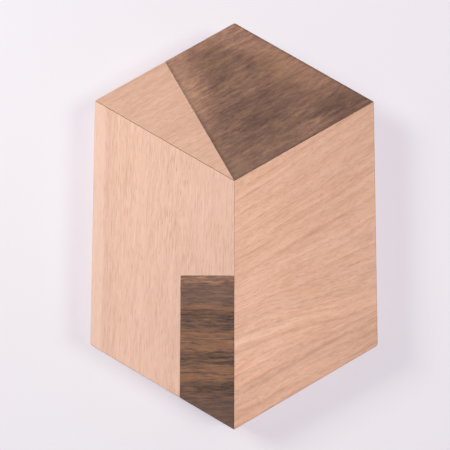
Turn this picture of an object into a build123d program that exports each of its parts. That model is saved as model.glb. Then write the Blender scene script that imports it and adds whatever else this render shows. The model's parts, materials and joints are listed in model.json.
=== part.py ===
from build123d import *
import math
import os

os.makedirs("parts", exist_ok=True)

# ---------------------------------------------------------------------------
# Flat hexagonal wooden puzzle: five flush slabs that draw a box with a door in
# isometric view, held together by hidden double-dovetail rails and two dowels.
# Millimetres.  Origin: centre of the outline on the back face.
# +Y points to the roof peak, +Z out of the show face, +X to the right.
# ---------------------------------------------------------------------------

# --- driving dimensions -----------------------------------------------------
SLANT = 60.0            # length of every full slanted edge
UPRIGHT = 90.0          # length of every full upright edge
THICK = 16.0            # slab thickness
DOOR_WIDTH = 19.5       # width of the door
DOOR_TOP_DROP = 35.0    # door top below the centre point of the isometric box

EDGE_GAP = 0.03         # each slab is held back this much from a sliding joint line
GABLE_GAP = 0.07        # the same along the triangle-to-left-wall joint
DOOR_TOP_GAP = 0.06     # the same along the top of the door
ARRIS = 0.25            # broken edge round the outside of the puzzle

RAIL_WAIST = 5.0        # rail height at the joint line
RAIL_END = 8.0          # rail height at its two outer faces
RAIL_REACH = 5.0        # how far a rail reaches into each slab
SLIDE_CLEAR = 0.12      # clearance of a sliding groove, measured square to its faces
STOP_CLEAR = 0.30       # free length at the blind end of a sliding groove

ROOF_RAIL_FROM, ROOF_RAIL_TO = 6.0, 50.0        # along the roof line from the centre point
GABLE_RAIL_FROM, GABLE_RAIL_TO = 14.0, 50.0     # along the gable line from the centre point
CENTRE_RAIL_TOP, CENTRE_RAIL_BOTTOM = 9.0, -69.0    # heights on the upright centre line
DOOR_RAIL_TOP, DOOR_RAIL_BOTTOM = -24.0, -57.0      # heights on the left side of the door

DOWEL_R = 3.0           # standard 6 mm dowel
DOWEL_BORE_R = 3.08     # sliding bore
DOWEL_IN_GABLE = 8.0    # glued length
DOWEL_IN_ROOF = 10.0    # sliding length
DOWEL_AT = (35.0, 46.0) # from the centre point along the roof-to-gable joint

# --- outline points -----------------------------------------------------------
COS30 = math.cos(math.radians(30))
HALF_W = SLANT * COS30                      # 51.96
TOP_Y = UPRIGHT / 2 + SLANT / 2             # 75
CENTRE = (0.0, TOP_Y - SLANT)               # centre point of the isometric box
PEAK = (0.0, TOP_Y)
UP_RIGHT = (HALF_W, UPRIGHT / 2)
LOW_RIGHT = (HALF_W, -UPRIGHT / 2)
BOTTOM = (0.0, -TOP_Y)
LOW_LEFT = (-HALF_W, -UPRIGHT / 2)
UP_LEFT = (-HALF_W, UPRIGHT / 2)
RIDGE_MID = ((PEAK[0] + UP_LEFT[0]) / 2, (PEAK[1] + UP_LEFT[1]) / 2)
DOOR_TOP_Y = CENTRE[1] - DOOR_TOP_DROP
DOOR_TR = (0.0, DOOR_TOP_Y)
DOOR_TL = (-DOOR_WIDTH, DOOR_TOP_Y)
DOOR_BL = (-DOOR_WIDTH, -TOP_Y + DOOR_WIDTH * math.tan(math.radians(30)))

A_DIR = (COS30, 0.5)        # roof line, up to the right
B_DIR = (COS30, -0.5)       # gable line, down to the right
M_DIR = (-0.5, COS30)       # square to the roof line: the roof-to-gable joint
N_DIR = (0.5, COS30)        # square to the gable line


# --- helpers --------------------------------------------------------------------
def inset_outline(points, insets):
    """Outline with edge i (point i to point i+1) moved inward by insets[i]."""
    count = len(points)
    area = sum(points[i][0] * points[(i + 1) % count][1]
               - points[(i + 1) % count][0] * points[i][1] for i in range(count))
    turn = 1.0 if area > 0 else -1.0
    lines = []
    for i in range(count):
        (x0, y0), (x1, y1) = points[i], points[(i + 1) % count]
        run = math.hypot(x1 - x0, y1 - y0)
        dx, dy = (x1 - x0) / run, (y1 - y0) / run
        nx, ny = -dy * turn, dx * turn
        lines.append((nx, ny, nx * x0 + ny * y0 + insets[i]))
    out = []
    for i in range(count):
        a0, b0, c0 = lines[i - 1]
        a1, b1, c1 = lines[i]
        det = a0 * b1 - a1 * b0
        out.append(((c0 * b1 - c1 * b0) / det, (a0 * c1 - a1 * c0) / det))
    return out


def slab(points, insets):
    """Straight-sided slab from z = 0 to the slab thickness."""
    outline = inset_outline(points, insets)
    face = make_face(Polyline(*[(x, y, 0.0) for x, y in outline], close=True))
    return extrude(face, THICK, dir=(0, 0, 1))


def break_outside(body, outer_edges):
    """Breaks the front and back arris along the given outside edges."""
    picked = []
    for edge in body.edges():
        p = edge.center()
        if abs(p.Z) > 1e-6 and abs(p.Z - THICK) > 1e-6:
            continue
        for (x0, y0), (x1, y1) in outer_edges:
            run = math.hypot(x1 - x0, y1 - y0)
            off = abs((p.X - x0) * (y1 - y0) - (p.Y - y0) * (x1 - x0)) / run
            along = ((p.X - x0) * (x1 - x0) + (p.Y - y0) * (y1 - y0)) / run
            if off < 1e-4 and 0.1 < along < run - 0.1:
                picked.append(edge)
                break
    return chamfer(picked, ARRIS)


def half_height(across, extra=0.0):
    """Half the rail height at a distance from the joint line."""
    return RAIL_WAIST / 2 + (RAIL_END - RAIL_WAIST) / 2 * across / RAIL_REACH + extra


def prism(section, start, direction, across, length):
    """Section (across, up) run along a direction in the slab's mid-plane."""
    plane = Plane(origin=(start[0], start[1], THICK / 2),
                  x_dir=(across[0], across[1], 0),
                  z_dir=(direction[0], direction[1], 0))
    pts = [plane.from_local_coords(Vector(u, v, 0)) for u, v in section]
    face = make_face(Polyline(*pts, close=True))
    return extrude(face, length, dir=(direction[0], direction[1], 0))


def along(start, direction, distance):
    return (start[0] + direction[0] * distance, start[1] + direction[1] * distance)


def rail(start, direction, across, length):
    """Double-dovetail rail, both halves."""
    w, e, r = RAIL_WAIST / 2, RAIL_END / 2, RAIL_REACH
    return prism([(-r, -e), (0, -w), (r, -e), (r, e), (0, w), (-r, e)],
                 start, direction, across, length)


def glued_pocket(start, direction, across, length):
    """Pocket for the glued half of a rail: the rail's own size."""
    r = RAIL_REACH
    a, b = half_height(-1.0), half_height(r)
    return prism([(-1, -a), (r, -b), (r, b), (-1, a)], start, direction, across, length)


def sliding_groove(start, direction, across, length):
    """Groove for the sliding half of a rail, with clearance on every face."""
    extra = SLIDE_CLEAR * math.hypot(1.0, (RAIL_END - RAIL_WAIST) / 2 / RAIL_REACH)
    r = RAIL_REACH + SLIDE_CLEAR
    a, b = half_height(-1.0, extra), half_height(r, extra)
    return prism([(-1, -a), (r, -b), (r, b), (-1, a)], start, direction, across, length)


def cylinder_along(start, direction, radius, length):
    """Round bar whose axis lies in the slab's mid-plane."""
    plane = Plane(origin=(start[0], start[1], THICK / 2), z_dir=(direction[0], direction[1], 0))
    return extrude(plane * Circle(radius), length)


NEG = lambda d: (-d[0], -d[1])
UP, RIGHT = (0.0, 1.0), (1.0, 0.0)

# --- rails and dowels -------------------------------------------------------------
roof_len = ROOF_RAIL_TO - ROOF_RAIL_FROM
roof_start = along(CENTRE, A_DIR, ROOF_RAIL_FROM)
roof_rail = rail(roof_start, A_DIR, M_DIR, roof_len)

gable_len = GABLE_RAIL_TO - GABLE_RAIL_FROM
gable_start = along(CENTRE, NEG(B_DIR), GABLE_RAIL_FROM)
gable_rail = rail(gable_start, NEG(B_DIR), N_DIR, gable_len)

centre_len = CENTRE_RAIL_TOP - CENTRE_RAIL_BOTTOM
centre_rail = rail((0.0, CENTRE_RAIL_BOTTOM), UP, RIGHT, centre_len)

door_rail_len = DOOR_RAIL_TOP - DOOR_RAIL_BOTTOM
door_rail = rail((-DOOR_WIDTH, DOOR_RAIL_BOTTOM), UP, RIGHT, door_rail_len)

dowels = []
dowel_holes = []
roof_bores = []
for distance in DOWEL_AT:
    foot = along(CENTRE, M_DIR, distance)
    inner = along(foot, A_DIR, -DOWEL_IN_GABLE)
    dowel = cylinder_along(inner, A_DIR, DOWEL_R, DOWEL_IN_GABLE + DOWEL_IN_ROOF)
    far_rim = dowel.edges().sort_by(Axis(origin=(0, 0, 0), direction=(A_DIR[0], A_DIR[1], 0)))[-1]
    dowels.append(chamfer(far_rim, 0.6))
    dowel_holes.append(cylinder_along(inner, A_DIR, DOWEL_R, DOWEL_IN_GABLE + 2))
    roof_bores.append(cylinder_along(along(foot, A_DIR, -2.0), A_DIR, DOWEL_BORE_R,
                                     DOWEL_IN_ROOF + 0.5 + 2.0))

# --- right wall: holds the roof rail and the centre rail -------------------------------
right_wall = slab([CENTRE, BOTTOM, LOW_RIGHT, UP_RIGHT], [EDGE_GAP, 0, 0, EDGE_GAP])
right_wall = break_outside(right_wall, [(BOTTOM, LOW_RIGHT), (LOW_RIGHT, UP_RIGHT)])
right_wall -= glued_pocket(roof_start, A_DIR, NEG(M_DIR), roof_len)
right_wall -= glued_pocket((0.0, CENTRE_RAIL_BOTTOM), UP, RIGHT, centre_len)

# --- dark roof: slides along the roof line ------------------------------------------------
dark_roof = slab([CENTRE, UP_RIGHT, PEAK, RIDGE_MID], [EDGE_GAP, 0, 0, EDGE_GAP])
dark_roof = break_outside(dark_roof, [(UP_RIGHT, PEAK), (PEAK, RIDGE_MID)])
dark_roof -= sliding_groove(along(CENTRE, A_DIR, -3.0), A_DIR, M_DIR,
                            ROOF_RAIL_TO + STOP_CLEAR + 3.0)
for bore in roof_bores:
    dark_roof -= bore

# --- light gable: triangle that slides along the gable line --------------------------------
light_gable = slab([CENTRE, RIDGE_MID, UP_LEFT], [EDGE_GAP, 0, GABLE_GAP])
light_gable = break_outside(light_gable, [(RIDGE_MID, UP_LEFT)])
light_gable -= sliding_groove(along(CENTRE, B_DIR, 3.0), NEG(B_DIR), N_DIR,
                              GABLE_RAIL_TO + STOP_CLEAR + 3.0)
for hole in dowel_holes:
    light_gable -= hole

# --- left wall: L-shaped, holds the gable rail and the door rail ---------------------------
left_wall = slab([CENTRE, UP_LEFT, LOW_LEFT, DOOR_BL, DOOR_TL, DOOR_TR],
                 [GABLE_GAP, 0, 0, EDGE_GAP, DOOR_TOP_GAP, EDGE_GAP])
left_wall = break_outside(left_wall, [(UP_LEFT, LOW_LEFT), (LOW_LEFT, DOOR_BL)])
left_wall -= glued_pocket(gable_start, NEG(B_DIR), NEG(N_DIR), gable_len)
left_wall -= glued_pocket((-DOOR_WIDTH, DOOR_RAIL_BOTTOM), UP, NEG(RIGHT), door_rail_len)
left_wall -= sliding_groove((0.0, DOOR_TOP_Y - 3.0), UP, NEG(RIGHT), DOOR_TOP_DROP + 6.0)

# --- door: slides down between the left wall and the right wall ------------------------------
door = slab([DOOR_TR, DOOR_TL, DOOR_BL, BOTTOM], [DOOR_TOP_GAP, EDGE_GAP, 0, EDGE_GAP])
door = break_outside(door, [(DOOR_BL, BOTTOM)])
door -= sliding_groove((0.0, CENTRE_RAIL_BOTTOM - STOP_CLEAR), UP, NEG(RIGHT),
                       DOOR_TOP_Y - CENTRE_RAIL_BOTTOM + STOP_CLEAR + 3.0)
door -= sliding_groove((-DOOR_WIDTH, DOOR_RAIL_BOTTOM - STOP_CLEAR), UP, RIGHT,
                       DOOR_TOP_Y - DOOR_RAIL_BOTTOM + STOP_CLEAR + 3.0)

# --- one file for each piece -------------------------------------------------------------------
nodes = {
    "right_wall": right_wall,
    "dark_roof": dark_roof,
    "light_gable": light_gable,
    "left_wall": left_wall,
    "door": door,
    "roof_rail": roof_rail,
    "gable_rail": gable_rail,
    "centre_rail": centre_rail,
    "door_rail": door_rail,
    "gable_dowels": Compound(children=dowels),
}
for name, shape in nodes.items():
    export_step(shape, f"parts/{name}.step")
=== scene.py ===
import json
import math

import bmesh
import bpy
from mathutils import Matrix, Vector


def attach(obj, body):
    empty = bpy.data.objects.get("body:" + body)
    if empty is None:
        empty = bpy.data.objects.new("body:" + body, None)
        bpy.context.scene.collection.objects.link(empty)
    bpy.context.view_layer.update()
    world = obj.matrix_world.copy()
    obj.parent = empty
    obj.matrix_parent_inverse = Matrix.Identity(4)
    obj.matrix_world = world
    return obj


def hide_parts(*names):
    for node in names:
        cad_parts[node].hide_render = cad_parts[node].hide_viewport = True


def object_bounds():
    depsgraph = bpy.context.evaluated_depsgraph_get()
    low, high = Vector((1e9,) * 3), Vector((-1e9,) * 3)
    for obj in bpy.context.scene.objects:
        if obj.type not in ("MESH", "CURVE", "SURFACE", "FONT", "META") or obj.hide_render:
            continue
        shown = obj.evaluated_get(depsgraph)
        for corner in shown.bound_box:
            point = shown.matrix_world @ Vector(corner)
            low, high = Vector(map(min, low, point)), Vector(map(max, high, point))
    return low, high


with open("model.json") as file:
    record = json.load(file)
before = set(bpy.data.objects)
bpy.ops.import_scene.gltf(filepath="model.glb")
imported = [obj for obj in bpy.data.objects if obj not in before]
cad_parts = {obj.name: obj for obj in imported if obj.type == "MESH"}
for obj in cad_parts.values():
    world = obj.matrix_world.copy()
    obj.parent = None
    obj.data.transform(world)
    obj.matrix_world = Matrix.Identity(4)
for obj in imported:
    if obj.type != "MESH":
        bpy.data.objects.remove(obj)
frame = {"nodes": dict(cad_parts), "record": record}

MM = 0.001
cad_low, cad_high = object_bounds()
TOP = cad_high.z                    # show face height, 16 mm

# ---------------------------------------------------------------------------
# Geometry: every slab, rail and dowel is rebuilt from its CAD body with clean
# faces, rounded single-piece corners and softened arrises.
# ---------------------------------------------------------------------------
CORNERS = {                        # outer corners that belong to one slab: (x, y, radius), mm
    "right_wall": [(51.96, -45.0, 1.1), (51.96, 45.0, 0.35), (0.0, -75.0, 0.25)],
    "dark_roof": [(0.0, 75.0, 0.9), (51.96, 45.0, 0.3), (-25.98, 60.0, 0.2)],
    "left_wall": [(-51.96, -45.0, 0.9), (-51.96, 45.0, 0.3), (-19.5, -63.74, 0.2)],
    "light_gable": [(-51.96, 45.0, 0.3), (-25.98, 60.0, 0.2)],
    "door": [(0.0, -75.0, 0.25), (-19.5, -63.74, 0.2)],
}
ARRIS = {"right_wall": 0.05, "dark_roof": 0.05, "left_wall": 0.05, "light_gable": 0.05, "door": 0.05,
         "roof_rail": 0.20, "gable_rail": 0.20, "centre_rail": 0.20, "door_rail": 0.20, "gable_dowels": 0.12}


def rebuilt(node, material):
    src = frame["nodes"][node]
    bm = bmesh.new()
    bm.from_mesh(src.data)
    bmesh.ops.remove_doubles(bm, verts=bm.verts, dist=2e-6)
    bmesh.ops.dissolve_limit(bm, angle_limit=math.radians(0.5), verts=bm.verts, edges=bm.edges)
    bm.normal_update()
    for x, y, radius in CORNERS.get(node, []):
        bm.edges.ensure_lookup_table()
        picked = []
        for e in bm.edges:
            a, b = e.verts[0].co, e.verts[1].co
            mid = (a + b) / 2
            if abs(a.z - b.z) > 0.1 * MM and math.hypot(mid.x - x * MM, mid.y - y * MM) < 1.3 * MM \
                    and len(e.link_faces) == 2 and e.calc_face_angle() > math.radians(15):
                picked.append(e)
        if picked:
            bmesh.ops.bevel(bm, geom=picked, offset=radius * MM * 0.577, offset_type="OFFSET", segments=5,
                            profile=0.5, affect="EDGES", clamp_overlap=True)
            bmesh.ops.remove_doubles(bm, verts=bm.verts, dist=1e-6)
    sharp = [e for e in bm.edges if len(e.link_faces) == 2 and e.calc_face_angle() > math.radians(28)]
    bmesh.ops.bevel(bm, geom=sharp, offset=ARRIS[node] * MM, offset_type="OFFSET", segments=3,
                    profile=0.5, affect="EDGES", clamp_overlap=True)
    bmesh.ops.remove_doubles(bm, verts=bm.verts, dist=5e-7)
    bmesh.ops.recalc_face_normals(bm, faces=bm.faces)
    mesh = bpy.data.meshes.new(node + "_wood")
    bm.to_mesh(mesh)
    bm.free()
    for name in ("custom_normal",):
        if name in mesh.attributes:
            mesh.attributes.remove(mesh.attributes[name])
    mesh.polygons.foreach_set("use_smooth", [True] * len(mesh.polygons))
    mesh.set_sharp_from_angle(angle=math.radians(40))
    mesh.materials.clear()
    mesh.materials.append(material)
    obj = bpy.data.objects.new(node + "_wood", mesh)
    bpy.context.scene.collection.objects.link(obj)
    weighted = obj.modifiers.new("even_normals", "WEIGHTED_NORMAL")
    weighted.keep_sharp = True
    weighted.weight = 100
    body = next(b for b, members in frame["record"]["behaviour"]["bodies"].items() if node in members)
    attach(obj, body)
    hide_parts(node)
    return obj


# ---------------------------------------------------------------------------
# Solid wood material
# ---------------------------------------------------------------------------
def srgb(r, g, b):
    """8-bit display colour to linear."""
    out = []
    for c in (r, g, b):
        c /= 255.0
        out.append(c / 12.92 if c <= 0.04045 else ((c + 0.055) / 1.055) ** 2.4)
    return (*out, 1.0)


class Wood:
    """Builds one solid-wood material node by node. Positions are millimetres in the row frame."""

    def __init__(self, name, grain_deg):
        self.mat = bpy.data.materials.new(name)
        self.mat.use_nodes = True
        self.tree = self.mat.node_tree
        self.tree.nodes.clear()
        self.new = self.tree.nodes.new
        self.link = self.tree.links.new
        tc = self.new("ShaderNodeTexCoord")
        scale = self.new("ShaderNodeVectorMath")
        scale.operation = "SCALE"
        self.link(tc.outputs["Object"], scale.inputs[0])
        scale.inputs["Scale"].default_value = 1000.0
        self.row = scale.outputs[0]                       # row frame, mm
        turn = self.new("ShaderNodeVectorRotate")
        turn.rotation_type = "Z_AXIS"
        self.link(self.row, turn.inputs["Vector"])
        turn.inputs["Angle"].default_value = -math.radians(grain_deg)
        self.grain = turn.outputs[0]                      # x along the grain, y across, z through
        self.rx, self.ry, self.rz = self.split(self.row)
        self.u, self.v, self.w = self.split(self.grain)

    # -- small tools ----------------------------------------------------------
    def _in(self, socket, value):
        if isinstance(value, (int, float)):
            socket.default_value = value
        elif isinstance(value, tuple):
            socket.default_value = value
        else:
            self.link(value, socket)

    def math(self, op, a, b=0.0, c=None, clamp=False):
        n = self.new("ShaderNodeMath")
        n.operation = op
        n.use_clamp = clamp
        self._in(n.inputs[0], a)
        self._in(n.inputs[1], b)
        if c is not None:
            self._in(n.inputs[2], c)
        return n.outputs[0]

    def add(self, a, b): return self.math("ADD", a, b)
    def sub(self, a, b): return self.math("SUBTRACT", a, b)
    def mul(self, a, b): return self.math("MULTIPLY", a, b)
    def mad(self, a, b, c): return self.math("MULTIPLY_ADD", a, b, c)

    def split(self, vector):
        n = self.new("ShaderNodeSeparateXYZ")
        self.link(vector, n.inputs[0])
        return n.outputs[0], n.outputs[1], n.outputs[2]

    def vec(self, x, y, z):
        n = self.new("ShaderNodeCombineXYZ")
        self._in(n.inputs[0], x)
        self._in(n.inputs[1], y)
        self._in(n.inputs[2], z)
        return n.outputs[0]

    def noise(self, vector, scale=1.0, detail=2.0, rough=0.5, distort=0.0):
        n = self.new("ShaderNodeTexNoise")
        n.noise_dimensions = "3D"
        self.link(vector, n.inputs["Vector"])
        n.inputs["Scale"].default_value = scale
        n.inputs["Detail"].default_value = detail
        n.inputs["Roughness"].default_value = rough
        n.inputs["Distortion"].default_value = distort
        return n.outputs["Fac"] if "Fac" in n.outputs else n.outputs[0]

    def stretched(self, du, dv, dw, seed=0.0, **kw):
        """Noise whose features are about du long, dv wide and dw deep, in mm."""
        p = self.vec(self.mad(self.u, 1.0 / du, seed), self.mad(self.vv, 1.0 / dv, seed * 1.7),
                     self.mad(self.ww, 1.0 / dw, seed * 0.6))
        return self.noise(p, **kw)

    def clouds(self, size, seed=0.0, detail=2.0):
        p = self.vec(self.mad(self.u, 0.6 / size, seed), self.mad(self.vv, 1.0 / size, seed * 1.3),
                     self.mad(self.ww, 1.0 / size, seed))
        return self.noise(p, detail=detail)

    def ramp(self, fac, stops, mode="LINEAR"):
        n = self.new("ShaderNodeValToRGB")
        n.color_ramp.interpolation = mode
        els = n.color_ramp.elements
        while len(els) > len(stops):
            els.remove(els[-1])
        while len(els) < len(stops):
            els.new(1.0)
        for el, (pos, col) in zip(els, stops):
            el.position = pos
            el.color = col if isinstance(col, tuple) else (col, col, col, 1.0)
        self.link(fac, n.inputs[0])
        return n.outputs["Color"]

    def step(self, value, low, high):
        """0 below low, 1 above high, smooth between."""
        n = self.new("ShaderNodeMapRange")
        n.interpolation_type = "SMOOTHSTEP"
        self.link(value, n.inputs["Value"])
        n.inputs["From Min"].default_value = low
        n.inputs["From Max"].default_value = high
        return n.outputs["Result"]

    def mix(self, fac, a, b, blend="MIX"):
        n = self.new("ShaderNodeMix")
        n.data_type = "RGBA"
        n.blend_type = blend
        n.clamp_result = False
        self._in(n.inputs["Factor"], fac)
        self._in(n.inputs["A"], a)
        self._in(n.inputs["B"], b)
        return n.outputs["Result"]

    def spot(self, x, y, rx, ry, turn_deg=0.0, ragged=0.35, seed=0.0):
        """Soft-edged patch in the row frame: 1 inside, 0 outside, ragged along the grain."""
        c, s = math.cos(math.radians(turn_deg)), math.sin(math.radians(turn_deg))
        dx, dy = self.sub(self.rx, x), self.sub(self.ry, y)
        a = self.mul(self.mad(dx, c, self.mul(dy, s)), 1.0 / rx)
        b = self.mul(self.mad(dy, c, self.mul(dx, -s)), 1.0 / ry)
        d = self.math("SQRT", self.add(self.mul(a, a), self.mul(b, b)))
        n = self.stretched(14.0, 2.5, 2.5, seed=seed + 3.1, detail=3.0)
        d = self.add(d, self.mul(self.sub(n, 0.5), ragged * 2.0))
        return self.math("SUBTRACT", 1.0, self.step(d, 0.25, 1.15))

    def brighten(self, colour, fac, amount):
        """Multiplies a colour by 1 + fac * amount."""
        k = self.mad(fac, amount, 1.0)
        n = self.new("ShaderNodeVectorMath")
        n.operation = "SCALE"
        self.link(colour, n.inputs[0])
        self.link(k, n.inputs["Scale"])
        return n.outputs[0]

    # -- wood structure -------------------------------------------------------------
    def warp(self, long_amp, short_amp, seed, tilt_deg, bend=None):
        """Gives the grain its waves: vv across the grain and ww through the board, both warped."""
        p = self.vec(self.mad(self.u, 1 / 55.0, seed), self.mad(self.v, 1 / 26.0, seed), self.mul(self.w, 1 / 26.0))
        q = self.vec(self.mad(self.u, 1 / 13.0, seed * 2), self.mad(self.v, 1 / 7.0, seed), self.mul(self.w, 1 / 7.0))
        shift = self.add(self.mul(self.sub(self.noise(p, detail=1.0), 0.5), long_amp * 2),
                         self.mul(self.sub(self.noise(q, detail=2.0), 0.5), short_amp * 2))
        v = self.add(self.v, shift)
        if bend is not None:
            v = self.add(v, bend)
        c, s = math.cos(math.radians(tilt_deg)), math.sin(math.radians(tilt_deg))
        self.vv = self.mad(v, c, self.mul(self.w, s))      # square to the rings
        self.ww = self.mad(self.w, c, self.mul(v, -s))     # along the rings
        return self.vv

    def rings(self, spacing, uneven, seed):
        """Growth rings. body rises slowly through each ring; line is the thin late wood at its end."""
        one = self.noise(self.vec(self.mad(self.vv, 0.42 / spacing, seed), self.mul(self.u, 0.004), 0.0), detail=1.0)
        r = self.add(self.mul(self.vv, 1.0 / spacing), self.mul(one, uneven))
        f = self.math("FRACT", self.add(r, 100.0 + seed))
        body = self.mul(self.step(f, 0.0, 0.85), self.math("SUBTRACT", 1.0, self.step(f, 0.93, 1.0)))
        line = self.mul(self.step(f, 0.80, 0.91), self.math("SUBTRACT", 1.0, self.step(f, 0.92, 1.0)))
        fade = self.step(self.stretched(9.0, 2.4, 2.4, seed=seed + 21.0, detail=2.0), 0.40, 0.62)
        return body, self.mul(line, fade)

    def tint(self, colour, fac, ratio):
        """Multiplies the display brightness of a colour by about ratio where fac is 1."""
        return self.brighten(colour, fac, ratio ** 2.3 - 1.0)

    def band(self, y, half, wave, soft=0.8):
        """Soft band across the piece at row Y, half its width each way, with a wavy middle line."""
        d = self.math("ABSOLUTE", self.sub(self.add(self.ry, wave), y))
        return self.math("SUBTRACT", 1.0, self.step(d, half * (1.0 - soft), half * (1.0 + soft)))

    def finish(self, colour, height, rough_low, rough_high, rough_fac, depth_mm, specular):
        bsdf = self.new("ShaderNodeBsdfPrincipled")
        out = self.new("ShaderNodeOutputMaterial")
        self.link(bsdf.outputs[0], out.inputs["Surface"])
        self.link(colour, bsdf.inputs["Base Color"])
        r = self.new("ShaderNodeMapRange")
        self.link(rough_fac, r.inputs["Value"])
        r.inputs["To Min"].default_value = rough_low
        r.inputs["To Max"].default_value = rough_high
        self.link(r.outputs["Result"], bsdf.inputs["Roughness"])
        bsdf.inputs["Specular IOR Level"].default_value = specular
        bump = self.new("ShaderNodeBump")
        bump.inputs["Strength"].default_value = 1.0
        bump.inputs["Distance"].default_value = depth_mm * MM
        self.link(height, bump.inputs["Height"])
        self.link(bump.outputs[0], bsdf.inputs["Normal"])
        return self.mat


def light_wood(name, grain_deg, seed, base, tilt, long_amp, short_amp, ring_mm, ring_dark, line_dark,
               fine_mm, fleck_dark, fleck_len, fleck_wide, tooth_dark, mottled=1.0, cloudy=1.0, uneven=1.6, bend=None,
               extra=None):
    """Steamed beech: pinkish tan, soft rings, fine short flecks."""
    k = Wood(name, grain_deg)
    k.warp(long_amp, short_amp, seed, tilt, bend(k) if bend else None)
    body, line = k.rings(ring_mm, uneven, seed)
    fine = k.stretched(fine_mm[0], fine_mm[1], fine_mm[1], seed=seed, detail=3.0, rough=0.6)
    broad = k.stretched(30.0, 2.0, 2.0, seed=seed + 5, detail=2.0)
    cloud = k.clouds(20.0, seed + 9)
    tooth = k.stretched(1.1, 0.7, 0.7, seed=seed + 17, detail=1.0, rough=0.6)
    crowd = k.mul(k.sub(k.stretched(20.0, 5.0, 5.0, seed=seed + 13, detail=1.0), 0.5), 0.22)
    fleck_a = k.add(k.stretched(fleck_len, fleck_wide, fleck_wide * 1.6, seed=seed + 2, detail=1.0, rough=0.4), crowd)
    fleck_b = k.add(k.stretched(fleck_len * 2.4, fleck_wide * 0.8, fleck_wide * 1.3, seed=seed + 7, detail=1.0), crowd)
    flecks = k.math("MAXIMUM", k.step(fleck_a, 0.57, 0.67), k.mul(k.step(fleck_b, 0.58, 0.68), 0.8))
    r, g, b = base
    tone = k.add(k.mul(k.sub(broad, 0.5), 0.30 * cloudy), k.mul(k.sub(cloud, 0.5), 0.24 * cloudy))
    tone = k.mad(k.add(k.mul(k.sub(fine, 0.5), 0.46), tone), mottled, 0.5)
    colour = k.ramp(tone, [(0.26, srgb(r - 20, g - 22, b - 23)), (0.45, srgb(r - 4, g - 4, b - 5)),
                           (0.56, srgb(r + 4, g + 5, b + 5)), (0.76, srgb(r + 14, g + 17, b + 19))])
    colour = k.brighten(colour, body, -ring_dark)
    colour = k.mix(k.mul(line, line_dark), colour, srgb(r - 44, g - 54, b - 56))
    colour = k.mix(k.mul(flecks, fleck_dark), colour, srgb(r - 50, g - 62, b - 64))
    colour = k.brighten(colour, k.sub(0.5, tooth), tooth_dark)
    k.line, k.flecks = line, flecks
    if extra:
        colour = extra(k, colour)
    height = k.add(k.mul(fine, 0.5), k.sub(k.mul(body, 0.25), k.mul(flecks, 0.6)))
    return k.finish(colour, height, 0.46, 0.60, fine, 0.03, 0.2)


def dark_wood(name, grain_deg, seed, palette, tilt, long_amp, short_amp, ring_mm, ring_dark, fine_mm, streak_mm,
              weights, contrast, tooth_dark, extra=None, bend=None):
    """Smoked walnut: purple-brown ground, tan streaks, dark open pores."""
    k = Wood(name, grain_deg)
    k.warp(long_amp, short_amp, seed, tilt, bend(k) if bend else None)
    body, line = k.rings(ring_mm, 1.9, seed)
    fine = k.stretched(fine_mm[0], fine_mm[1], fine_mm[1], seed=seed, detail=3.0, rough=0.6)
    streak = k.stretched(streak_mm[0], streak_mm[1], streak_mm[1], seed=seed + 5, detail=2.0, rough=0.55)
    cloud = k.clouds(20.0, seed + 9)
    tooth = k.stretched(1.1, 0.85, 0.85, seed=seed + 17, detail=1.0, rough=0.5)
    pore_n = k.stretched(2.8, 0.3, 0.3, seed=seed + 2, detail=1.0)
    pores = k.step(pore_n, 0.60, 0.70)
    tone = k.add(k.mul(fine, weights[0]), k.add(k.mul(streak, weights[1]), k.mul(cloud, weights[2])))
    tone = k.mad(k.sub(tone, 0.5), contrast, 0.5)
    colour = k.ramp(tone, [(p, srgb(*c)) for p, c in palette])
    colour = k.brighten(colour, body, -ring_dark)
    colour = k.brighten(colour, line, -ring_dark)
    colour = k.brighten(colour, pores, -0.20)
    colour = k.brighten(colour, k.sub(0.5, tooth), tooth_dark)
    if extra:
        colour = extra(k, colour)
    height = k.add(k.mul(fine, 0.6), k.mul(pores, -1.0))
    return k.finish(colour, height, 0.42, 0.58, fine, 0.04, 0.18)


# --- right wall: grain runs up to the right, and fans out where it lies flatter across the lower third ---
# Height of a grain line at the centre joint, in mm, and how steeply it climbs to the right.
GRAIN_LINES = ((-90.0, 0.60), (-62.4, 0.53), (-44.0, 0.37), (-37.8, 0.31), (-24.0, 0.57), (-8.0, 0.67), (40.0, 0.637))


def right_bend(k):
    mid = 25.98                     # half the wall's width
    lift = [k.mad(k.rx, slope, height) for height, slope in GRAIN_LINES]
    level = GRAIN_LINES[0][0] + mid * GRAIN_LINES[0][1]
    k.flow = level
    for i in range(len(GRAIN_LINES) - 1):
        gap = (GRAIN_LINES[i + 1][0] - GRAIN_LINES[i][0]) + mid * (GRAIN_LINES[i + 1][1] - GRAIN_LINES[i][1])
        part = k.math("DIVIDE", k.sub(k.ry, lift[i]), k.sub(lift[i + 1], lift[i]), clamp=True)
        k.flow = k.mad(part, gap, k.flow)
    return k.sub(k.mad(k.flow, 0.843, -0.537 * mid), k.v)


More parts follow.
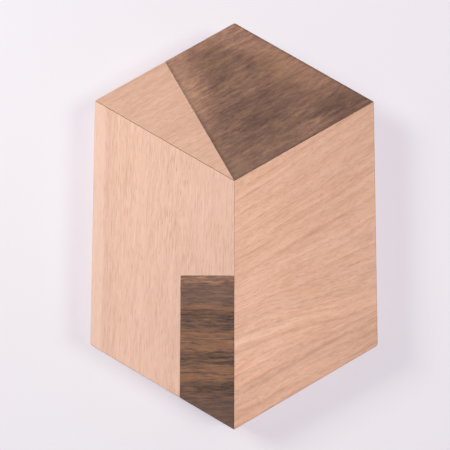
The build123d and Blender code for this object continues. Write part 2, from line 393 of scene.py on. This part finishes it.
def right_extra(k, colour):
    low = k.math("SUBTRACT", 1.0, k.step(k.ry, -38.0, -20.0))
    wide, edge = k.rings(5.6, 3.0, 8.0)
    colour = k.tint(colour, k.mul(wide, low), 0.985)
    colour = k.mix(k.mul(k.mul(edge, low), 0.12), colour, srgb(186, 134, 106))
    wavy = k.add(k.flow, k.add(k.mul(k.sub(k.stretched(22.0, 7.0, 7.0, seed=51.0, detail=1.0), 0.5), 3.6),
                               k.mul(k.sub(k.stretched(6.0, 2.4, 2.4, seed=52.0, detail=2.0), 0.5), 1.1)))
    patchy = k.step(k.stretched(16.0, 1.2, 1.2, seed=53.0, detail=2.0), 0.30, 0.56)

    def line(level, half):
        d = k.math("ABSOLUTE", k.sub(wavy, level))
        return k.mul(k.math("SUBTRACT", 1.0, k.step(d, half * 0.3, half * 1.7)), patchy)

    left = k.math("SUBTRACT", 1.0, k.step(k.rx, 4.0, 44.0))
    for level, half, ratio in ((-48.6, 0.80, 0.945), (-52.8, 0.6, 0.975), (-45.0, 0.5, 0.975), (-41.6, 0.45, 0.98),
                               (-32.6, 0.4, 0.98), (-37.4, 0.45, 0.98), (-28.4, 0.4, 0.98)):
        colour = k.tint(colour, line(level, half), ratio)
    for level, half, amount in ((-34.6, 0.95, 0.58), (-30.4, 0.7, 0.36), (-39.4, 0.7, 0.24)):
        colour = k.mix(k.mul(k.mul(line(level, half), k.mad(left, 0.6, 0.4)), amount), colour, srgb(236, 196, 168))
    colour = k.mix(k.mul(k.spot(19.3, -22.6, 2.9, 4.6, 10, ragged=0.8, seed=1.0), 0.50), colour, srgb(205, 159, 126))
    colour = k.mix(k.mul(k.spot(27.6, -25.6, 4.6, 2.2, 12, ragged=0.7, seed=5.0), 0.50), colour, srgb(216, 168, 134))
    colour = k.tint(colour, k.step(k.rx, 2.0, 50.0), 0.962)
    colour = k.tint(colour, k.step(k.ry, 6.0, 26.0), 0.983)
    for y in (-6.0, -19.0):
        colour = k.tint(colour, k.spot(49.0, y, 6.0, 1.8, 30, ragged=0.5, seed=y), 0.95)
    colour = k.tint(colour, k.spot(34.0, -30.5, 20.0, 4.6, 14, ragged=0.6, seed=2.0), 1.025)
    colour = k.tint(colour, k.spot(28.0, -38.5, 22.0, 6.5, 20, ragged=0.6, seed=3.0), 1.03)
    colour = k.tint(colour, k.spot(5.0, -52.5, 10.0, 5.5, 20, ragged=0.6, seed=7.0), 1.04)
    colour = k.tint(colour, k.spot(47.0, -45.0, 16.0, 5.0, 28, ragged=0.6, seed=4.0), 0.972)
    return k.tint(colour, k.spot(10.0, -63.0, 16.0, 3.0, 28, ragged=0.6, seed=6.0), 0.975)


# --- left wall: upright grain, pale sapwood stripe down the left edge ---
def left_extra(k, colour):
    edge = k.math("SUBTRACT", 1.0, k.step(k.add(k.rx, k.mul(k.sub(k.clouds(30.0, 2.2), 0.5), 1.6)), -48.9, -47.6))
    colour = k.mix(k.mul(edge, 0.55), colour, srgb(236, 199, 179))
    grey = k.mul(k.step(k.rx, -48.4, -47.2), k.math("SUBTRACT", 1.0, k.step(k.rx, -46.2, -42.0)))
    colour = k.tint(colour, grey, 0.975)
    colour = k.tint(colour, k.step(k.rx, -46.0, -4.0), 0.975)
    crowded = k.spot(-22.0, 8.0, 8.0, 26.0, 0, ragged=0.5, seed=16.0)
    colour = k.mix(k.mul(k.mul(k.flecks, crowded), 0.30), colour, srgb(184, 132, 106))
    return k.tint(colour, k.math("SUBTRACT", 1.0, k.step(k.ry, -60.0, 40.0)), 0.97)


# --- dark roof: pale along the gable joint and the peak, dark towards the right wall ---
def roof_extra(k, colour):
    colour = k.tint(colour, k.spot(-20.5, 50.0, 10.0, 24.0, 30, ragged=0.35, seed=2.0), 1.25)
    colour = k.mix(k.mul(k.spot(-19.0, 46.0, 7.0, 17.0, 30, ragged=0.45, seed=12.0), 0.25), colour, srgb(146, 120, 96))
    colour = k.tint(colour, k.spot(4.0, 69.0, 15.0, 7.0, -15, ragged=0.4, seed=1.0), 1.21)
    colour = k.tint(colour, k.spot(27.0, 56.0, 20.0, 5.5, -30, ragged=0.5, seed=7.0), 1.15)
    colour = k.tint(colour, k.spot(-6.0, 57.0, 7.0, 9.0, 20, ragged=0.5, seed=4.0), 0.92)
    colour = k.tint(colour, k.spot(12.0, 36.0, 14.0, 8.0, 28, ragged=0.5, seed=8.0), 0.93)
    colour = k.tint(colour, k.spot(37.0, 43.5, 13.0, 4.5, 20, ragged=0.5, seed=9.0), 0.88)
    colour = k.tint(colour, k.spot(28.0, 35.5, 8.0, 3.0, 30, ragged=0.5, seed=10.0), 1.13)
    colour = k.mix(k.mul(k.spot(1.0, 19.5, 6.5, 5.5, 0, seed=3.0), 0.4), colour, srgb(138, 107, 88))
    colour = k.tint(colour, k.spot(-13.0, 67.0, 15.0, 4.5, 30, ragged=0.4, seed=17.0), 1.12)
    colour = k.tint(colour, k.spot(10.0, 43.0, 15.0, 8.0, 28, ragged=0.5, seed=13.0), 0.93)
    colour = k.mix(k.mul(k.spot(20.0, 57.0, 26.0, 7.0, -30, ragged=0.5, seed=15.0), 0.30), colour, srgb(160, 118, 90))
    # Painted shade: the roof darkens within about a millimetre of its right edge and of its joints with the gable and
    # the right wall, standing in for shaded arrises.
    right_rim = k.sub(64.95, k.mad(k.rx, 0.5, k.mul(k.ry, 0.866)))
    joint_rim = k.sub(k.mad(k.rx, 0.866, k.mul(k.ry, 0.5)), 7.5)
    lower_rim = k.sub(k.mad(k.rx, -0.5, k.mul(k.ry, 0.866)), 13.0)
    painted_edge_shade = k.math("MINIMUM", right_rim, k.math("MINIMUM", k.mul(joint_rim, 0.75), k.mul(lower_rim, 0.9)))
    return k.tint(colour, k.math("SUBTRACT", 1.0, k.step(painted_edge_shade, 0.50, 1.05)), 0.91)


# --- door: banded figure running across, broken and darker towards the right ---
def door_extra(k, colour):
    wave = k.add(k.mul(k.sub(k.stretched(14.0, 5.0, 5.0, seed=4.0, detail=1.0), 0.5), 4.0),
                 k.mul(k.sub(k.stretched(5.0, 1.1, 1.1, seed=14.0, detail=2.0), 0.5), 2.2))
    side = k.mad(k.step(k.rx, -18.0, -2.0), 0.35, 0.80)
    broken = k.step(k.stretched(9.0, 0.8, 0.8, seed=24.0, detail=2.0), 0.34, 0.60)
    orange = srgb(152, 104, 73)
    for y, half in ((-31.5, 1.2), (-41.0, 1.8), (-45.0, 1.2), (-55.5, 2.2)):
        colour = k.mix(k.mul(k.mul(k.band(y, half, wave), broken), 0.50), colour, orange)
    for y, half, ratio in ((-35.0, 1.5, 0.76), (-38.6, 0.9, 0.82), (-49.5, 2.2, 0.76), (-61.0, 2.2, 0.78),
                           (-66.0, 2.0, 0.84), (-71.0, 2.0, 0.84)):
        colour = k.tint(colour, k.mul(k.mul(k.band(y, half, wave), side), k.mad(broken, 0.6, 0.4)), ratio)
    colour = k.tint(colour, k.step(k.ry, -24.2, -22.6), 1.20)
    quiet = k.mul(k.step(k.ry, -31.5, -29.0), k.math("SUBTRACT", 1.0, k.step(k.ry, -25.0, -23.0)))
    tip = k.math("SUBTRACT", 1.0, k.step(k.ry, -68.0, -58.0))
    return k.mix(k.mul(k.math("MAXIMUM", tip, quiet), 0.42), colour, srgb(107, 82, 75))


wood_right = light_wood("light_wood_right", 32.5, 3.0, (223, 174, 149), 28.0, 2.6, 0.70, 3.6, 0.06, 0.27,
                        (5.0, 0.66), 0.22, 2.2, 0.40, 0.12, 0.95, 1.15, 2.8, right_bend, right_extra)
wood_left = light_wood("light_wood_left", 88.2, 11.0, (236, 193, 171), 34.0, 0.9, 0.22, 2.0, 0.035, 0.12,
                       (9.0, 0.34), 0.36, 4.0, 0.18, 0.0, 0.50, 0.62, 1.6, None, left_extra)
wood_gable = light_wood("light_wood_gable", 29.0, 23.0, (214, 170, 147), 20.0, 1.0, 0.25, 2.6, 0.030, 0.15,
                        (5.0, 0.76), 0.18, 2.2, 0.42, 0.09, 0.70, 1.0)
wood_roof = dark_wood("dark_wood_roof", 30.0, 31.0,
                      [(0.26, (97, 69, 61)), (0.44, (123, 90, 77)), (0.56, (136, 101, 83)), (0.74, (158, 119, 93))],
                      22.0, 1.2, 0.35, 2.4, 0.07, (4.0, 0.95), (10.0, 1.55), (0.43, 0.37, 0.22), 1.42, 0.44, roof_extra)
wood_door = dark_wood("dark_wood_door", 0.0, 47.0,
                      [(0.26, (67, 48, 42)), (0.44, (104, 75, 63)), (0.57, (127, 91, 70)), (0.76, (158, 113, 79))],
                      16.0, 1.1, 0.60, 1.6, 0.08, (3.8, 0.50), (9.0, 0.9), (0.46, 0.40, 0.14), 1.6, 0.30, door_extra)
wood_rail = light_wood("rail_wood", 0.0, 61.0, (212, 174, 142), 12.0, 0.8, 0.2, 2.0, 0.05, 0.2,
                       (5.0, 0.4), 0.25, 3.0, 0.3, 0.05)

MATERIALS = {
    "right_wall": (wood_right, "light_wood_right"),
    "dark_roof": (wood_roof, "dark_wood_roof"),
    "light_gable": (wood_gable, "light_wood_gable"),
    "left_wall": (wood_left, "light_wood_left"),
    "door": (wood_door, "dark_wood_door"),
    "roof_rail": (wood_rail, "rail_wood"),
    "gable_rail": (wood_rail, "rail_wood"),
    "centre_rail": (wood_rail, "rail_wood"),
    "door_rail": (wood_rail, "rail_wood"),
    "gable_dowels": (wood_rail, "rail_wood"),
}
for node, (material, slot_name) in MATERIALS.items():
    rebuilt(node, material)

# ---------------------------------------------------------------------------
# Stage: pale table, soft lights, camera
# ---------------------------------------------------------------------------
floor_mesh = bpy.data.meshes.new("table_top")
half = 6.0
floor_mesh.from_pydata([(-half, -half, 0), (half, -half, 0), (half, half, 0), (-half, half, 0)], [], [(0, 1, 2, 3)])
floor = bpy.data.objects.new("table_top", floor_mesh)
floor.location.z = cad_low.z - 0.02 * MM
bpy.context.scene.collection.objects.link(floor)
floor_mat = bpy.data.materials.new("table_white")
floor_mat.use_nodes = True
ft = floor_mat.node_tree
bsdf = ft.nodes["Principled BSDF"]
tc = ft.nodes.new("ShaderNodeTexCoord")
fn = ft.nodes.new("ShaderNodeTexNoise")
fn.inputs["Scale"].default_value = 9.0
fn.inputs["Detail"].default_value = 2.0
ft.links.new(tc.outputs["Object"], fn.inputs["Vector"])
# Painted bounce light: the base colour leans green and the glow near the piece leans pink, so floor in shadow turns
# pinker as if lit by light bounced off the wood.
fr = ft.nodes.new("ShaderNodeValToRGB")
fr.color_ramp.elements[0].position = 0.3
fr.color_ramp.elements[0].color = (0.501, 0.534, 0.473, 1)
fr.color_ramp.elements[1].position = 0.7
fr.color_ramp.elements[1].color = (0.517, 0.550, 0.489, 1)
ft.links.new(fn.outputs[0], fr.inputs[0])
ft.links.new(fr.outputs["Color"], bsdf.inputs["Base Color"])
bsdf.inputs["Roughness"].default_value = 0.75
bsdf.inputs["Specular IOR Level"].default_value = 0.1
away = ft.nodes.new("ShaderNodeVectorMath")
away.operation = "LENGTH"
ft.links.new(tc.outputs["Object"], away.inputs[0])
far = ft.nodes.new("ShaderNodeMapRange")
far.interpolation_type = "SMOOTHSTEP"
ft.links.new(away.outputs["Value"], far.inputs["Value"])
far.inputs["From Min"].default_value = 0.16
far.inputs["From Max"].default_value = 0.9
# The floor glows: weaker and pinker near the piece, brighter far off; the pink near the piece is painted bounce light.
glow = ft.nodes.new("ShaderNodeValToRGB")
glow.color_ramp.elements[0].color = (0.335, 0.255, 0.368, 1)
glow.color_ramp.elements[1].color = (0.80, 0.78, 0.82, 1)
ft.links.new(far.outputs["Result"], glow.inputs[0])
along = ft.nodes.new("ShaderNodeSeparateXYZ")
ft.links.new(tc.outputs["Object"], along.inputs[0])
# Painted light falloff: the floor's glow dims towards -Y.
slope = ft.nodes.new("ShaderNodeMapRange")
slope.interpolation_type = "SMOOTHSTEP"
ft.links.new(along.outputs[1], slope.inputs["Value"])
slope.inputs["From Min"].default_value = -0.12
slope.inputs["From Max"].default_value = 0.06
slope.inputs["To Min"].default_value = 0.91
slope.inputs["To Max"].default_value = 0.99
sloped = ft.nodes.new("ShaderNodeVectorMath")
sloped.operation = "SCALE"
ft.links.new(glow.outputs["Color"], sloped.inputs[0])
ft.links.new(slope.outputs["Result"], sloped.inputs["Scale"])
ft.links.new(sloped.outputs[0], bsdf.inputs["Emission Color"])
bsdf.inputs["Emission Strength"].default_value = 1.0
floor_mesh.materials.append(floor_mat)

# pale backdrop all round, seen by the camera only, so low views have no dark horizon
bm = bmesh.new()
bmesh.ops.create_uvsphere(bm, u_segments=48, v_segments=24, radius=6.0)
bmesh.ops.reverse_faces(bm, faces=bm.faces)
backdrop_mesh = bpy.data.meshes.new("backdrop")
bm.to_mesh(backdrop_mesh)
bm.free()
backdrop = bpy.data.objects.new("backdrop", backdrop_mesh)
bpy.context.scene.collection.objects.link(backdrop)
backdrop.visible_diffuse = False
backdrop.visible_glossy = False
backdrop.visible_shadow = False
backdrop_mat = bpy.data.materials.new("backdrop_white")
backdrop_mat.use_nodes = True
bt = backdrop_mat.node_tree
bt.nodes.clear()
pale = bt.nodes.new("ShaderNodeEmission")
pale.inputs["Color"].default_value = (0.80, 0.78, 0.82, 1)
bt.links.new(pale.outputs[0], bt.nodes.new("ShaderNodeOutputMaterial").inputs["Surface"])
backdrop_mesh.materials.append(backdrop_mat)


def area_light(name, position, size, watts, colour):
    data = bpy.data.lights.new(name, "AREA")
    data.shape = "DISK"
    data.size = size
    data.energy = watts
    data.color = colour
    lamp = bpy.data.objects.new(name, data)
    lamp.location = position
    lamp.rotation_euler = (Vector((0, 0, TOP / 2)) - Vector(position)).to_track_quat("-Z", "Y").to_euler()
    bpy.context.scene.collection.objects.link(lamp)
    return lamp


area_light("key_upper_left", (-0.528, 0.25, 0.48), 0.31, 2.95, (1.0, 1.0, 1.0))
area_light("fill_right", (0.72, -0.05, 0.97), 0.46, 4.32, (1.0, 1.0, 1.0))
area_light("top_soft", (0.0, 0.0, 0.85), 0.16, 2.70, (1.0, 1.0, 1.0))

world = bpy.data.worlds.new("studio")
bpy.context.scene.world = world
world.use_nodes = True
world.node_tree.nodes["Background"].inputs["Color"].default_value = (1.0, 0.99, 1.0, 1)
world.node_tree.nodes["Background"].inputs["Strength"].default_value = 0.14

cam_data = bpy.data.cameras.new("camera")
cam_data.lens = 64.0
cam_data.sensor_width = 36.0
cam_data.clip_start = 0.01
cam = bpy.data.objects.new("camera", cam_data)
bpy.context.scene.collection.objects.link(cam)
tilt = (Matrix.Rotation(math.radians(-0.1687), 3, "Z") @ Matrix.Rotation(math.radians(0.3233), 3, "Y")
        @ Matrix.Rotation(math.radians(-5.5534), 3, "X"))
cam.matrix_world = Matrix.Translation(Vector((-5.088, -29.785, 307.928)) * MM) @ tilt.transposed().to_4x4()
bpy.context.scene.camera = cam

bpy.context.scene.view_settings.view_transform = "Standard"
bpy.context.scene.view_settings.look = "None"
bpy.context.scene.view_settings.exposure = 0.0
bpy.context.scene.view_settings.gamma = 1.0
